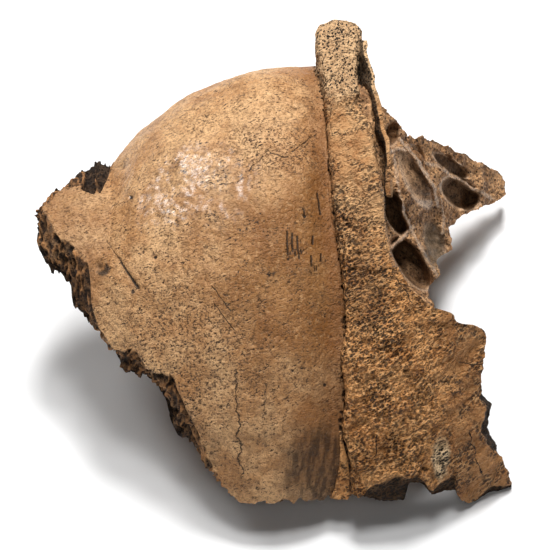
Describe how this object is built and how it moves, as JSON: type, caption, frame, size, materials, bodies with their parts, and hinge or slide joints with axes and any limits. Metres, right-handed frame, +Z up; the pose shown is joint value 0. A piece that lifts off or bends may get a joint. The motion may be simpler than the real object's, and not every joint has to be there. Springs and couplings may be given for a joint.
{
  "type": "fossil mammoth skull fragment",
  "caption": "Broken piece of a fossil mammoth braincase: smooth bulging wall, rough crest and plate beside it, open air cells behind, lying on its broken side.",
  "frame": {"origin": "centre of the bounding box, on the floor that the fragment lies on", "axes": "+X to the right as seen from the smooth side, along the fragment's longest extent; +Y away from the viewer; +Z up"},
  "size_m": [0.51, 0.4761, 0.2967],
  "materials": {
    "smooth_bone": "satin, finely pored and cracked",
    "rough_bone": "matt, spongy and pitted",
    "cellular_bone": "matt, broken, with open cells"
  },
  "bodies": {
    "root": {"parietal_wall": "smooth_bone", "seam_splint": "smooth_bone", "temporal_flange": "smooth_bone", "nuchal_crest": "rough_bone", "occipital_plate": "rough_bone", "crest_lamina": "rough_bone", "diploe_core": "cellular_bone", "diploe_cells": "cellular_bone", "diploe_wedge": "cellular_bone"}
  },
  "joints": []
}
